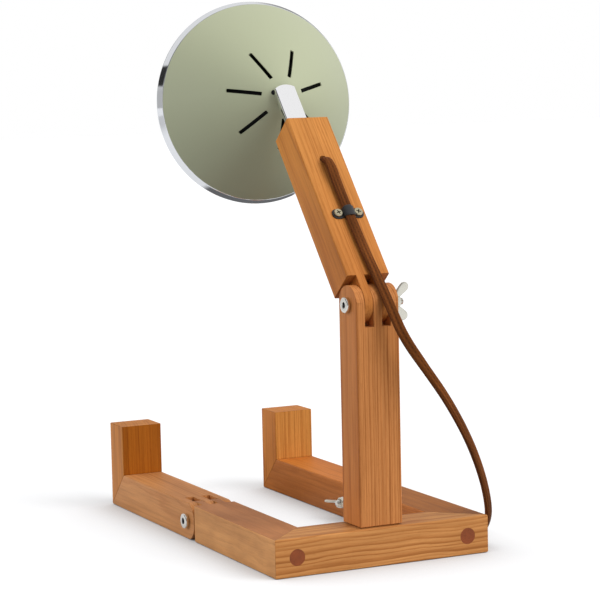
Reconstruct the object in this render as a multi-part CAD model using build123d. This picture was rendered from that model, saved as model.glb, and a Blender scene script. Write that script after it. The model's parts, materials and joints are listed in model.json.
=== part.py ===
from build123d import *
from math import atan2, cos, hypot, pi, radians, sin, sqrt, tan
import os

# Desk lamp in the shape of a seated robot. Millimetres, +Z up, front is -Y.
# The origin is the centre of the hip bar's underside, below the trunk.

# Timber stock, the same for every limb
stockWidth = 40.0
stockDepth = 33.0
edgeRadius = 1.5

# Seat: hip bar and two straight legs
hipWidth = 201.6
kneeReach = 188.4          # rear face of the hip bar to the knee axis
shinLength = 188.8         # knee axis to the front of the foot
footHeight = 80.0
dowelRadius = 7.0
dowelLength = 58.0
footDowelLength = 50.0
dowelGap = 0.05

# Trunk
elbowHeight = 220.3
shadowStep = 1.0           # rebate under the trunk
shadowInset = 2.0
trunkDowelRadius = 5.0
trunkDowelLength = 40.0
trunkDowelOffset = 10.0

# Finger joints: three ears hold two tongues
fingerCount = 5
fingerGap = 0.25
kneeCorner = 14.5
kneeShoulderGap = 1.1
kneeSlotGap = 5.5
elbowShoulderGap = 2.0
elbowSlotGap = 1.4

# Bolts, washers and wing nuts, M6
boltRadius = 3.0
boltHeadRadius = 6.75
boltHeadHeight = 3.8
boltChamfer = 0.5
hexAcross = 5.0
hexDepth = 2.4
boreGap = 0.1
runGap = 0.05
washerRadius = 6.4
washerThickness = 1.2
nutGap = 0.2
nutHeight = 7.5
nutBaseRadius = 6.0
nutTopRadius = 4.8
wingSpan = 33.0
wingThickness = 2.2
wingTipRadius = 4.2
wingTipHeight = 11.6
boltTail = 3.2
elbowWingTurn = -5.0
kneeWingTurn = 88.0

# Neck
neckLean = 40.5
neckLength = 189.0
cordRadius = 3.0
cordHoleRadius = 3.9
cordHoleHeight = 142.0
clipHeight = 82.3
clipOffset = -2.5
clipWall = 1.2
clipWidth = 9.5
clipScrewSpacing = 19.0
clipFoot = 4.6
clipScrewHead = 3.9
clipScrewHeadHeight = 2.0
clipScrewRadius = 1.5
clipScrewLength = 9.0

# Chrome arm, which turns in the neck and carries the tilt pin
armWidth = 19.0
armThickness = 8.9
armOffset = -3.9           # centre of the arm ahead of the neck's centre line
armReach = 241.3           # tip of the arm, measured from the elbow axis
armTipRadius = 13.5
armTurn = -8.33
armSeatGap = 0.3
spigotRadius = 6.0
spigotDepth = 20.0
wireRadius = 3.2
forkSlot = 9.1
forkWeb = 0.8
pinRadius = 1.5

# Head
headTilt = 36.2            # shade axis above the arm's front normal
pinRise = 4.9              # tilt pin above the shade axis
pinSetback = 3.96          # tilt pin ahead of the shade's virtual apex
eyeRadius = 3.45
eyeWidth = 8.9
stemThickness = 6.4
hubRadius = 13.4
hubSetback = 9.0           # flat hub ahead of the virtual apex
hubHoleGap = 0.15
shadeRadius = 90.7
shadeDepth = 86.3
shadeBelly = 6.8
sheet = 1.0
slotCount = 7
slotInner = 19.2
slotOuter = 46.8
slotWidth = 3.0
slotPhase = 67.3
trimDepth = 9.5
trimFlare = 3.3
trimWall = 1.3
trimBead = 1.1
flangeRadius = 12.0
flangeThickness = 2.5
nippleRadius = 5.0
nippleLength = 8.0
hubScrewRadius = 1.2
hubScrewHead = 2.2
hubScrewPitch = 9.9
hubScrewCount = 3

# Lampholder and bulb
holderLength = 36.0
holderRadius = 18.5
holderNeckRadius = 14.0
holderShoulder = 9.0
holderFloor = 9.5
holderBore = 14.4
skirtRadius = 50.0         # dark skirt inside the shade, behind its slots
skirtBack = 2.2            # back of the skirt's root, ahead of the holder's seat
skirtRise = 30.5
skirtWall = 1.3
sleeveWall = 0.9
sleeveLength = 20.0
capRadius = 13.1
capTip = 0.5
capLength = 24.0
capTipRadius = 5.0
capTaper = 4.0
bulbRadius = 22.5
bulbLength = 70.0
bulbNeck = 12.2
bulbWall = 0.9
capWall = 0.8

# In-line switch and plug, on the floor beside the right leg
switchLength = 56.0
switchWidth = 24.0
switchHeight = 16.0
switchRound = 5.0
switchPlace = (-116.0, -78.0)
rockerLength = 18.0
rockerWidth = 10.0
rockerHeight = 6.0
rockerProud = 1.8
rockerGap = 0.4
rockerPinRadius = 1.2
rockerPinReach = 1.5
rockerTilt = 6.0
plugPlace = (-115.5, -300.0)
plugLength = 36.0
plugWidth = 26.0
plugHeight = 13.7
plugNose = 15.0
plugRelief = 22.0
plugReliefTip = 4.2
pinSpacing = 18.6
plugPinRadius = 2.0
plugPinLength = 19.0

# Hank of spare cord
hankPlace = (-130.0, -196.0)
hankLength = 108.0
hankWidth = 46.0
hankLayers = 2
hankRound = 20.0           # ends on the outer side, where the turns go round
hankCorner = 3.0           # corners where the cord comes in and leaves
tieWidth = 9.0
tieWall = 0.9

# Values worked out from the sizes above
pitch = stockWidth / fingerCount
jointRadius = stockDepth / 2
hipRear = stockWidth / 2
hipInner = hipWidth / 2 - stockWidth
legCentre = (hipWidth - stockWidth) / 2
kneeY = hipRear - kneeReach
kneeZ = stockDepth / 2
footFront = kneeY - shinLength
footInner = footFront + stockDepth
cordDiameter = 2 * cordRadius

elbowFrame = Pos(0, 0, elbowHeight)
neckFrame = elbowFrame * Rot(neckLean, 0, 0)
pinHeight = armReach - armThickness / 2
armFrame = neckFrame * Pos(0, armOffset, 0) * Rot(0, 0, armTurn)
pinFrame = armFrame * Pos(0, 0, pinHeight)
# Head frame: origin on the shade axis at its virtual apex, +Z along the axis to the rim
headFrame = pinFrame * Rot(90 - headTilt, 0, 0) * Pos(0, -pinRise, -pinSetback)


def box(x0, x1, y0, y1, z0, z1):
    return Pos((x0 + x1) / 2, (y0 + y1) / 2, (z0 + z1) / 2) * Box(x1 - x0, y1 - y0, z1 - z0)


def rod(radius, x0, x1):
    """Cylinder along X."""
    return Pos((x0 + x1) / 2, 0, 0) * Rot(0, 90, 0) * Cylinder(radius, abs(x1 - x0))


def timber(z0, z1):
    """A length of stock along Z, with eased long edges."""
    return Pos(0, 0, z0) * extrude(RectangleRounded(stockWidth, stockDepth, edgeRadius), z1 - z0)


def fingers(places, z0, z1, gap):
    spans = []
    for i in places:
        x0 = -stockWidth / 2 + i * pitch
        spans.append(box(x0 + gap, x0 + pitch - gap, -stockDepth, stockDepth, z0, z1))
    return spans


def tongued(shoulder, z1):
    """Member that runs along +Z from its shoulder, with two tongues on the axis X."""
    member = timber(shoulder, z1)
    for i in (1, 3):
        x0 = -stockWidth / 2 + i * pitch + fingerGap
        x1 = x0 + pitch - 2 * fingerGap
        member += box(x0, x1, -jointRadius, jointRadius, 0, shoulder + 1) + rod(jointRadius, x0, x1)
    return member - rod(boltRadius + boreGap, -stockWidth, stockWidth)


def eared(z0, reach, corner, slotDepth):
    """Member that runs along -Z from the axis X, with three ears around two slots."""
    member = timber(z0, reach)
    outline = Pos((z0 + reach) / 2, 0) * Rectangle(reach - z0, stockDepth)
    ends = outline.vertices().group_by(Axis.X)[-1]
    outline = fillet(ends, min(corner, jointRadius - 0.02))
    side = extrude(Plane(origin=(0, 0, 0), x_dir=(0, 0, 1), z_dir=(1, 0, 0)) * outline, stockWidth, both=True)
    member = member & side
    for slot in fingers((1, 3), -slotDepth, reach + 1, 0):
        member -= slot
    return member - rod(boltRadius + boreGap, -stockWidth, stockWidth)


def dowel(radius, length):
    return chamfer(Cylinder(radius, length).edges().group_by(Axis.Z)[0], 1.0)


def bolt(length):
    """Flat furniture bolt along -X, its head's seat at x = 0."""
    head = chamfer(rod(boltHeadRadius, 0, boltHeadHeight).edges().group_by(Axis.X)[-1], boltChamfer)
    drive = Pos(boltHeadHeight - hexDepth, 0, 0) * Rot(0, 90, 0) * extrude(
        RegularPolygon(hexAcross / 2, 6, major_radius=False), hexDepth + 1)
    shank = chamfer(rod(boltRadius, -length, 1).edges().group_by(Axis.X)[0], boltChamfer)
    return head + shank - drive


def washer():
    return rod(washerRadius, -washerThickness, 0) - rod(boltRadius + boreGap, -washerThickness - 1, 1)


def wingNut():
    """Wing nut along -X from its seat at x = 0, wings along Z."""
    hub = Rot(0, -90, 0) * Cone(nutBaseRadius, nutTopRadius, nutHeight, align=(Align.CENTER, Align.CENTER, Align.MIN))
    tip = wingSpan / 2 - wingTipRadius
    root = Pos(nutTopRadius - 0.5, nutHeight / 2) * Rectangle(3.0, nutHeight - 2.0)
    wing = make_hull(root.edges() + (Pos(tip, wingTipHeight) * Circle(wingTipRadius)).edges())
    blade = extrude(Plane(origin=(0, 0, 0), x_dir=(0, 0, 1), z_dir=(0, -1, 0)) * wing, wingThickness / 2, both=True)
    nut = hub + blade + Rot(180, 0, 0) * blade
    return nut - rod(boltRadius + runGap, -nutHeight - 20, 1)


def ring(inner, outer, z0, z1):
    """Tube along Z."""
    tube = Pos(0, 0, z0) * Cylinder(outer, z1 - z0, align=(Align.CENTER, Align.CENTER, Align.MIN))
    if inner <= 0:
        return tube
    return tube - Pos(0, 0, z0 - 1) * Cylinder(inner, z1 - z0 + 2, align=(Align.CENTER, Align.CENTER, Align.MIN))


def spun(*points):
    """Solid of revolution about Z from an outline in X and Z."""
    return revolve(make_face(Polyline(*[(x, 0, z) for x, z in points], close=True)), Axis.Z)


def cordTube(name, points):
    """Straight runs joined by arcs as large as the runs allow."""
    radii = []
    for a, b, c in zip(points, points[1:], points[2:]):
        before, after = Vector(*b) - Vector(*a), Vector(*c) - Vector(*b)
        turn = before.get_angle(after)
        radii.append(0.45 * min(before.length, after.length) / tan(radians(turn) / 2))
    path = FilletPolyline(*points, radius=radii) if radii else Line(*points)
    start = Plane(origin=path @ 0, z_dir=path % 0)
    tube = sweep(start * Circle(cordRadius), path=path)
    print(name, "length", round(path.length, 1), "volume ratio",
          round(tube.volume / (pi * cordRadius ** 2 * path.length), 4), "radii", [round(r, 1) for r in radii])
    return tube


def onNeck(x, v, u):
    """Point given across, behind and along the neck, in the shared frame."""
    lean = radians(neckLean)
    return (x, v * cos(lean) - u * sin(lean), elbowHeight + v * sin(lean) + u * cos(lean))


parts = {}


def makeSeat():
    half, inner = hipWidth / 2, hipInner
    bar = Rot(0, 90, 0) * Rot(0, 0, 90) * extrude(RectangleRounded(stockWidth, stockDepth, edgeRadius), hipWidth / 2, both=True)
    bar = Pos(0, 0, stockDepth / 2) * bar
    for side in (1, -1):
        # Mitre between the bar and the thigh, from the outer rear corner to the inner front corner
        mitre = extrude(make_face(Polyline((side * half, hipRear), (side * (half + stockWidth), hipRear),
                                           (side * (half + stockWidth), -stockWidth), (side * (inner - 1), -stockWidth),
                                           (side * (inner - 1), -hipRear - 1), close=True)), stockDepth * 3, both=True)
        plug = Pos(side * legCentre, hipRear - dowelLength / 2, kneeZ) * Rot(-90, 0, 0)
        hole = plug * Cylinder(dowelRadius + dowelGap, dowelLength)
        bar = bar - mitre - hole
        knee = Pos(side * legCentre, kneeY, kneeZ) * Rot(-90, 0, 0)
        thigh = knee * tongued(jointRadius + kneeShoulderGap, kneeReach)
        thigh = thigh - (box(-half - 1, half + 1, -hipRear, hipRear + 1, -1, stockDepth + 1) - mitre) - hole
        name = "left" if side > 0 else "right"
        parts[name + "_thigh"] = thigh
        parts.setdefault("hip_dowels", []).append(plug * dowel(dowelRadius, dowelLength))
    for side in (1, -1):
        bar -= Pos(side * trunkDowelOffset, 0, stockDepth) * Cylinder(trunkDowelRadius + dowelGap, trunkDowelLength)
    parts["hip_bar"] = bar


def makeLegs():
    for side, name in ((1, "left"), (-1, "right")):
        knee = Pos(side * legCentre, kneeY, kneeZ) * Rot(-90, 0, 0)
        shank = knee * eared(-shinLength, jointRadius, kneeCorner, jointRadius + kneeSlotGap)
        # Mitre from the inner corner of the foot to its front lower edge
        mitre = Plane.YZ * make_face(Polyline((footFront, 0), (footInner, stockDepth), (footInner, footHeight + stockDepth),
                                              (footFront - stockDepth, footHeight + stockDepth),
                                              (footFront - stockDepth, 0), close=True))
        mitre = extrude(mitre, hipWidth, both=True)
        foot = Pos(side * legCentre, (footFront + footInner) / 2, 0) * timber(0, footHeight)
        plug = Pos(side * legCentre, footFront + footDowelLength / 2, kneeZ) * Rot(90, 0, 0)
        hole = plug * Cylinder(dowelRadius + dowelGap, footDowelLength)
        parts[name + "_shank"] = shank - mitre - hole
        parts[name + "_foot"] = (foot & mitre) - hole
        parts[name + "_foot_dowel"] = plug * dowel(dowelRadius, footDowelLength)
        face = Pos(side * hipWidth / 2, kneeY, kneeZ) * Rot(0, 0, 0 if side > 0 else 180)
        parts[name + "_knee_bolt"] = face * bolt(stockWidth + washerThickness + nutGap + nutHeight + boltTail)
        parts[name + "_knee_washer"] = face * Pos(-stockWidth, 0, 0) * washer()
        parts[name + "_knee_wing_nut"] = face * Pos(-stockWidth - washerThickness - nutGap, 0, 0) * Rot(side * kneeWingTurn, 0, 0) * wingNut()


def makeTrunk():
    foot = stockDepth - elbowHeight
    trunk = elbowFrame * eared(foot + shadowStep, jointRadius, jointRadius, jointRadius + elbowSlotGap)
    trunk += box(-stockWidth / 2 + shadowInset, stockWidth / 2 - shadowInset,
                 -stockDepth / 2 + shadowInset, stockDepth / 2 - shadowInset, stockDepth, stockDepth + shadowStep + 1)
    pegs = [Pos(s * trunkDowelOffset, 0, stockDepth) * dowel(trunkDowelRadius, trunkDowelLength) for s in (1, -1)]
    for s in (1, -1):
        trunk -= Pos(s * trunkDowelOffset, 0, stockDepth) * Cylinder(trunkDowelRadius + dowelGap, trunkDowelLength)
    parts["trunk"] = trunk
    parts["trunk_dowels"] = pegs
    face = elbowFrame * Pos(stockWidth / 2, 0, 0)
    parts["elbow_bolt"] = face * bolt(stockWidth + washerThickness + nutGap + nutHeight + boltTail)
    parts["elbow_washer"] = face * Pos(-stockWidth, 0, 0) * washer()
    parts["elbow_wing_nut"] = face * Pos(-stockWidth - washerThickness - nutGap, 0, 0) * Rot(elbowWingTurn, 0, 0) * wingNut()


def makeNeck():
    back = jointRadius
    neck = tongued(jointRadius + elbowShoulderGap, neckLength)
    socketFloor = neckLength - spigotDepth
    neck -= Pos(0, armOffset, 0) * ring(0, spigotRadius + runGap, socketFloor, neckLength + 1)
    neck -= Pos(0, armOffset, 0) * ring(0, cordHoleRadius, cordHoleHeight - cordHoleRadius, socketFloor + 1)
    neck -= Pos(0, armOffset, cordHoleHeight) * Rot(-90, 0, 0) * ring(0, cordHoleRadius, 0, back - armOffset + 1)
    screws = []
    for s in (1, -1):
        place = Pos(clipOffset + s * clipScrewSpacing / 2, back, clipHeight) * Rot(-90, 0, 0)
        neck -= place * ring(0, clipScrewRadius + dowelGap, -clipScrewLength, 1)
        head = fillet(ring(0, clipScrewHead, clipWall, clipWall + clipScrewHeadHeight).edges().group_by(Axis.Z)[-1], 0.8)
        recess = box(-2.1, 2.1, -0.4, 0.4, clipWall + 1.0, clipWall + 5) + box(-0.4, 0.4, -2.1, 2.1, clipWall + 1.0, clipWall + 5)
        screws.append(neckFrame * place * (head + ring(0, clipScrewRadius, -clipScrewLength, clipWall + 0.5) - Rot(0, 0, 20 * s) * recess))
    parts["neck"] = neckFrame * neck
    # Saddle clip over the cord
    inner = cordRadius + 0.1
    reach = clipScrewSpacing / 2 + clipFoot
    strap = box(-reach, reach, 0, clipWall, -clipWidth / 2, clipWidth / 2)
    strap += box(-inner - clipWall, inner + clipWall, 0, inner, -clipWidth / 2, clipWidth / 2)
    strap += Pos(0, inner, 0) * Cylinder(inner + clipWall, clipWidth)
    strap -= Pos(0, inner, 0) * Cylinder(inner, clipWidth + 2) + box(-inner, inner, -1, inner, -clipWidth, clipWidth)
    strap -= box(-reach, reach, -clipWall - 1, 0, -clipWidth, clipWidth)
    for s in (1, -1):
        strap -= Pos(s * clipScrewSpacing / 2, 0, 0) * Rot(-90, 0, 0) * Cylinder(clipScrewRadius + dowelGap, 9)
    parts["cord_clip"] = neckFrame * Pos(clipOffset, back, clipHeight) * strap
    parts["clip_screws"] = screws


def makeArm():
    bottom = neckLength + armSeatGap
    half = armThickness / 2
    bar = box(-armWidth / 2, armWidth / 2, -half, half, bottom, pinHeight) + Pos(0, 0, pinHeight) * rod(half, -armWidth / 2, armWidth / 2)
    # Arched tip, seen from the rear
    arch = Pos(0, 0, armReach - armTipRadius) * Rot(90, 0, 0) * Cylinder(armTipRadius, armThickness * 3)
    low = armReach - armTipRadius + sqrt(armTipRadius ** 2 - (armWidth / 2) ** 2)
    bar = bar & (arch + box(-armWidth, armWidth, -armThickness, armThickness, 0, low))
    slotLow = pinHeight - eyeRadius - stemThickness / 2 - 2.5
    bar -= box(-forkSlot / 2, forkSlot / 2, -armThickness, half - forkWeb, slotLow, armReach + 1)
    spigot = ring(0, spigotRadius, neckLength - spigotDepth + armSeatGap, bottom + 1)
    bar = bar + (spigot & box(-20, 20, -half, half, bottom - 1, bottom + 2) + ring(0, spigotRadius, neckLength - spigotDepth + armSeatGap, bottom))
    bar -= ring(0, wireRadius, 0, slotLow - 1.5)
    bar -= Pos(0, 0, pinHeight) * rod(pinRadius + dowelGap / 2, -armWidth, armWidth)
    parts["head_arm"] = armFrame * bar
    parts["tilt_pin"] = pinFrame * rod(pinRadius, -armWidth / 2, armWidth / 2)


def makeHead():
    # Knuckle: eye on the tilt pin, stem through the hub, flange and nipple inside the shade
    eye = Pos(0, pinRise, pinSetback) * rod(eyeRadius, -eyeWidth / 2, eyeWidth / 2)
    innerHub = hubSetback + sheet
    stem = box(-eyeWidth / 2, eyeWidth / 2, pinRise - stemThickness / 2, pinRise + stemThickness / 2, pinSetback, innerHub + 1)
    flange = ring(0, flangeRadius, innerHub, innerHub + flangeThickness)
    nipple = ring(0, nippleRadius, innerHub + 1, innerHub + flangeThickness + nippleLength)
    knuckle = eye + stem + flange + nipple
    knuckle -= Pos(0, pinRise, pinSetback) * rod(pinRadius + runGap, -eyeWidth, eyeWidth)

    # Shade: flat hub, then one arc from the hub to the rim
    chordX, chordZ = shadeRadius - hubRadius, shadeDepth - hubSetback
    chord = hypot(chordX, chordZ)
    bend = (chord ** 2 / 4 + shadeBelly ** 2) / (2 * shadeBelly)
    back = bend - shadeBelly
    centreX = (hubRadius + shadeRadius) / 2 - back * chordZ / chord
    centreZ = (hubSetback + shadeDepth) / 2 + back * chordX / chord
    inner = bend - sheet
    hubIn = centreX + sqrt(inner ** 2 - (hubSetback + sheet - centreZ) ** 2)
    rimIn = centreX + sqrt(inner ** 2 - (shadeDepth - centreZ) ** 2)
    midAngle = atan2((hubSetback + shadeDepth) / 2 - centreZ, (hubRadius + shadeRadius) / 2 - centreX)
    mid = lambda r: (centreX + r * cos(midAngle), 0, centreZ + r * sin(midAngle))
    outline = [Line((0, 0, hubSetback), (hubRadius, 0, hubSetback)),
               ThreePointArc((hubRadius, 0, hubSetback), mid(bend), (shadeRadius, 0, shadeDepth)),
               Line((shadeRadius, 0, shadeDepth), (rimIn, 0, shadeDepth)),
               ThreePointArc((rimIn, 0, shadeDepth), mid(inner), (hubIn, 0, hubSetback + sheet)),
               Line((hubIn, 0, hubSetback + sheet), (0, 0, hubSetback + sheet)),
               Line((0, 0, hubSetback + sheet), (0, 0, hubSetback))]
    shade = revolve(make_face(outline), Axis.Z)
    wide, high = eyeWidth / 2 + hubHoleGap, stemThickness / 2 + hubHoleGap
    shade -= box(-wide, wide, pinRise - high, pinRise + high, hubSetback - 1, hubSetback + sheet + 1)
    slot = extrude(Pos((slotInner + slotOuter) / 2, 0) * SlotOverall(slotOuter - slotInner, slotWidth), shadeDepth)
    for i in range(slotCount):
        shade -= Rot(0, 0, slotPhase + i * 360 / slotCount) * slot

    screws = []
    for i in range(hubScrewCount):
        place = Rot(0, 0, i * 360 / hubScrewCount - 90) * Pos(hubScrewPitch, 0, hubSetback)
        sink = Cone(hubScrewHead, hubScrewRadius, sheet, align=(Align.CENTER, Align.CENTER, Align.MIN))
        shade -= place * sink
        knuckle -= place * ring(0, hubScrewRadius + dowelGap, sheet, sheet + flangeThickness)
        screws.append(headFrame * place * (sink + ring(0, hubScrewRadius, sheet - 0.01, sheet + flangeThickness)))

    trimIn = shadeRadius - trimWall
    flare = shadeRadius + trimFlare
    trim = spun((trimIn, shadeDepth), (shadeRadius + 0.4, shadeDepth), (flare, shadeDepth + trimDepth - trimBead),
                (flare - trimWall, shadeDepth + trimDepth - trimBead))
    bead = revolve(Plane.XZ * Pos(flare - trimBead, shadeDepth + trimDepth - trimBead) * Circle(trimBead), Axis.Z)
    parts["head_knuckle"] = headFrame * knuckle
    parts["shade"] = headFrame * shade
    parts["shade_trim"] = headFrame * (trim + bead)
    parts["hub_screws"] = screws

    # Lampholder, seated on the flange
    seat = innerHub + flangeThickness
    front = seat + holderLength
    floor = seat + holderFloor
    holder = ring(0, holderNeckRadius, seat, seat + holderShoulder)
    holder += spun((0, seat + holderShoulder - 3), (holderNeckRadius, seat + holderShoulder - 3), (holderRadius, seat + holderShoulder + 2),
                   (holderRadius, front), (0, front))
    root, back = holderNeckRadius - 1, seat + skirtBack
    holder += spun((root, back), (skirtRadius, back + skirtRise), (skirtRadius, back + skirtRise + skirtWall), (root, back + skirtWall + 0.4))
    holder -= ring(0, holderBore, floor, front + 1)
    holder -= ring(0, nippleRadius + dowelGap, seat - 1, seat + nippleLength + 0.1)
    parts["lampholder"] = headFrame * holder
    sleeve = ring(holderBore - dowelGap - sleeveWall, holderBore - dowelGap, front - 2 - sleeveLength, front - 2)
    contact = ring(0, capTipRadius, floor, floor + capTip)
    parts["holder_contacts"] = [headFrame * sleeve, headFrame * contact]

    tip = floor + capTip
    capFoot = tip + capTaper
    hollow = ring(0, capRadius - capWall, capFoot + 1, tip + capLength + 1)
    cap = spun((0, tip), (capTipRadius, tip), (capTipRadius + 2, tip + 1.5), (capRadius, capFoot), (capRadius, tip + capLength), (0, tip + capLength)) - hollow
    glassStart = tip + capLength
    centre = tip + bulbLength - bulbRadius
    neckMeet = centre - sqrt(bulbRadius ** 2 - bulbNeck ** 2)
    glass = Pos(0, 0, centre) * Sphere(bulbRadius) + ring(0, bulbNeck, glassStart, neckMeet + 3)
    glass -= Pos(0, 0, centre) * Sphere(bulbRadius - bulbWall) + ring(0, bulbNeck - bulbWall, glassStart - 1, neckMeet + 3)
    parts["bulb_cap"] = headFrame * cap
    parts["bulb_glass"] = headFrame * glass


def makeSwitch():
    x, y = switchPlace
    body = Pos(0, 0, switchHeight / 2) * Box(switchWidth, switchLength, switchHeight)
    body = fillet(body.edges().filter_by(Axis.Z), switchRound)
    body = fillet(body.edges().group_by(Axis.Z)[-1], 2.0)
    pocketWidth, pocketLength = rockerWidth + 2 * rockerGap, rockerLength + 2 * rockerGap
    pocket = box(-pocketWidth / 2, pocketWidth / 2, -pocketLength / 2, pocketLength / 2, switchHeight - rockerHeight - 1.5, switchHeight + 1)
    pivotZ = switchHeight - rockerHeight / 2
    body -= pocket + Pos(0, 0, pivotZ) * rod(rockerPinRadius + runGap, -rockerWidth / 2 - rockerPinReach - 0.3, rockerWidth / 2 + rockerPinReach + 0.3)
    half = rockerLength / 2
    profile = make_face(Polyline((-half, 1.2 - rockerHeight / 2), (0, -rockerHeight / 2), (half, 1.2 - rockerHeight / 2),
                                 (half - 0.6, rockerHeight / 2 + rockerProud), (0, rockerHeight / 2 + 0.4),
                                 (-half + 0.6, rockerHeight / 2 + rockerProud), close=True))
    rocker = extrude(Plane.YZ * profile, rockerWidth / 2, both=True)
    rocker += rod(rockerPinRadius, -rockerWidth / 2 - rockerPinReach, rockerWidth / 2 + rockerPinReach)
    parts["switch_body"] = Pos(x, y, 0) * body
    parts["switch_rocker"] = Pos(x, y, pivotZ) * Rot(rockerTilt, 0, 0) * rocker


def makePlug():
    x, y = plugPlace
    lift = plugHeight / 2
    half = plugWidth / 2
    shape = make_face(Polyline((-half, 0), (half, 0), (half, -plugNose), (half - 4, -plugLength), (-half + 4, -plugLength),
                               (-half, -plugNose), close=True))
    body = extrude(shape, plugHeight / 2, both=True)
    body = fillet(body.edges().filter_by(Axis.Z), 2.0)
    body = chamfer(body.edges().group_by(Axis.Z)[0] + body.edges().group_by(Axis.Z)[-1], 1.2)
    # The pins leave the wide face, the cord enters the narrow one
    relief = Rot(-90, 0, 0) * Cone(lift - 1.2, plugReliefTip, plugRelief, align=(Align.CENTER, Align.CENTER, Align.MIN))
    body = Rot(0, 0, 180) * body
    body = Pos(0, -plugLength, 0) * body + relief
    parts["plug_body"] = Pos(x, y, lift) * body
    pins = []
    for s in (1, -1):
        pin = Rot(90, 0, 0) * ring(0, plugPinRadius, 0, plugPinLength)
        pins.append(Pos(x + s * pinSpacing / 2, y - plugLength, lift) * pin)
    parts["plug_pins"] = pins


def makeCord():
    floor = cordRadius
    neckRoute = [(0.0, 10.5, 143.2), (-0.3, 20.6, 140.4), (-1.0, 22.6, 130.4), (-1.7, 20.3, 114.0),
                 (-2.4, 19.6, 88.0), (-2.6, 19.6, 62.0), (-3.6, 19.7, 36.0), (-4.9, 19.9, 14.0)]
    neckRoute = [onNeck(*p) for p in neckRoute]
    parts["cord_neck"] = cordTube("cord_neck", neckRoute)
    fallRoute = [neckRoute[-1], onNeck(-5.8, 20.04, -1.2), (-7.7, 27.6, 216.0), (-13.0, 38.0, 194.0), (-29.5, 42.5, 168.5), (-52.0, 39.5, 139.5),
                 (-76.5, 31.6, 103.0), (-94.5, 23.0, 68.0), (-104.5, 15.5, 40.0), (-109.5, 7.0, 20.0), (-113.0, -7.0, 7.5),
                 (-115.2, -22.0, floor), (-116.0, -36.0, floor + 0.6), (-116.0, switchPlace[1] + switchLength / 2, floor + 1.8)]
    parts["cord_fall"] = cordTube("cord_fall", fallRoute)
    hankRear = hankPlace[1] + hankLength / 2
    hankFront = hankPlace[1] - hankLength / 2
    floorRoute = [(-116.0, switchPlace[1] - switchLength / 2, floor), (-115.9, -117.0, floor), (-112.9, -131.0, floor), (-112.8, hankRear, floor)]
    parts["cord_floor"] = cordTube("cord_floor", floorRoute)
    top = (hankLayers - 0.5) * cordDiameter
    tailRoute = [(-113.0, hankFront, top), (-113.1, hankFront - 9.0, top - 0.2), (-115.3, hankFront - 19.5, top - 1.9),
                 (plugPlace[0], plugPlace[1] + plugRelief, plugHeight / 2)]
    parts["cord_tail"] = cordTube("cord_tail", tailRoute)

    width, height = hankWidth, hankLayers * cordDiameter
    plan = Rectangle(width, hankLength)
    plan = fillet(plan.vertices().group_by(Axis.X)[0], hankRound)
    plan = fillet(plan.vertices().group_by(Axis.X)[-1], hankCorner)
    hank = extrude(plan, height)
    hank = fillet(hank.edges().group_by(Axis.Z)[0] + hank.edges().group_by(Axis.Z)[-1], cordRadius - 0.4)
    outer = Pos(0, 0, height / 2) * Rot(90, 0, 0) * extrude(RectangleRounded(width, height, cordRadius - 0.4), tieWidth / 2, both=True)
    core = Pos(0, 0, height / 2) * Rot(90, 0, 0) * extrude(RectangleRounded(width - 2 * tieWall, height - 2 * tieWall, cordRadius - 0.4 - tieWall), tieWidth, both=True)
    hank = (hank - outer) + (hank & core)
    x, y = hankPlace
    parts["cord_hank"] = Pos(x, y, 0) * hank
    parts["cord_tie"] = Pos(x, y, 0) * (outer - core)


makeSeat()
makeLegs()
makeTrunk()
makeNeck()
makeArm()
makeHead()
makeSwitch()
makePlug()
makeCord()

os.makedirs("parts", exist_ok=True)
for node, shape in parts.items():
    solids = []
    for piece in (shape if isinstance(shape, list) else [shape]):
        solids += piece.solids()
    export_step(solids[0] if len(solids) == 1 else Compound(children=solids), "parts/" + node + ".step")
    centre = Compound(children=solids).bounding_box()
    print(node, len(solids), "solids", [round(c, 1) for c in (*centre.min, *centre.max)])
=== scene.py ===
import json
from math import cos, pi, radians, tau
import bmesh
import bpy
import numpy as np
from mathutils import Euler, Matrix, Vector

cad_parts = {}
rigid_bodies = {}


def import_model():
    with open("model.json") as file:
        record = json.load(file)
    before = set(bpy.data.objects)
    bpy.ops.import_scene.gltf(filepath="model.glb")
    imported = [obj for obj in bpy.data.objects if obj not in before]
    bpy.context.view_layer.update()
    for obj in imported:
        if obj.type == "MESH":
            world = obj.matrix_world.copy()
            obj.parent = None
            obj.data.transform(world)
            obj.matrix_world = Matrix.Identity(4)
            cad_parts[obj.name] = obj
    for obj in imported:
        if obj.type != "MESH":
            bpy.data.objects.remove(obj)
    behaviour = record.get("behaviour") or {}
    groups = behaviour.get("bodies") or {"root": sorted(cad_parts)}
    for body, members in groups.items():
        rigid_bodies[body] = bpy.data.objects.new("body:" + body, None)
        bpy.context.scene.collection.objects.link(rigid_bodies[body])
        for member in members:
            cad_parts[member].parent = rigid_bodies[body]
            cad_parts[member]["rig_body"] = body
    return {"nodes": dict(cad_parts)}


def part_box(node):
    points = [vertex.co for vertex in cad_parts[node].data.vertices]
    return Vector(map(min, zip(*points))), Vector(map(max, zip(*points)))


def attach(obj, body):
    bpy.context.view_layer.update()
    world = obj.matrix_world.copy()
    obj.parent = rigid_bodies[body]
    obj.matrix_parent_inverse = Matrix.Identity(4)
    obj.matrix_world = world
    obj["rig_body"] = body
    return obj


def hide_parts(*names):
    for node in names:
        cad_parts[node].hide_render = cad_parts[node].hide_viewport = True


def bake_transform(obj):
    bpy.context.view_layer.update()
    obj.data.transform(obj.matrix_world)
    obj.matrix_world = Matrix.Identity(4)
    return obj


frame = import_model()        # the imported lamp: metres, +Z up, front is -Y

bpy.context.view_layer.update()
nodes = frame["nodes"]
scene = bpy.context.scene
scene.view_settings.view_transform = "Standard"
mm = 0.001


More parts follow.
